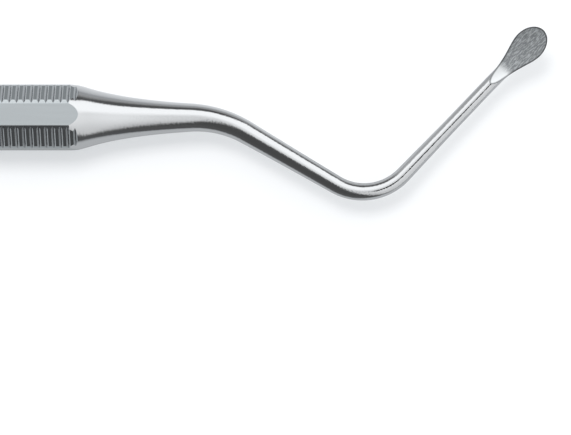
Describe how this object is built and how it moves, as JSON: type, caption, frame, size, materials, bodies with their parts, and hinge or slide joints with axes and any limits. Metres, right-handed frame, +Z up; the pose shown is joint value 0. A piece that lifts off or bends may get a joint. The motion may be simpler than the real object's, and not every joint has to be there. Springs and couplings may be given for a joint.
{
  "type": "surgical curette",
  "caption": "Double-ended surgical curette: an octagonal grooved handle with tapered, angled shanks that end in small hollow-ground spoons.",
  "frame": {"origin": "middle of the handle's length, on the flat that the instrument rests on", "axes": "+X along the handle, +Z up out of the top flat, +Y to the side that the right-hand spoon ends on"},
  "size_m": [0.1728, 0.0178, 0.0063],
  "materials": {
    "stainless_steel": "satin-polished surgical stainless steel, with a finely ground matt face on each spoon"
  },
  "bodies": {
    "root": {"surgical_curette": "stainless_steel"}
  },
  "joints": []
}
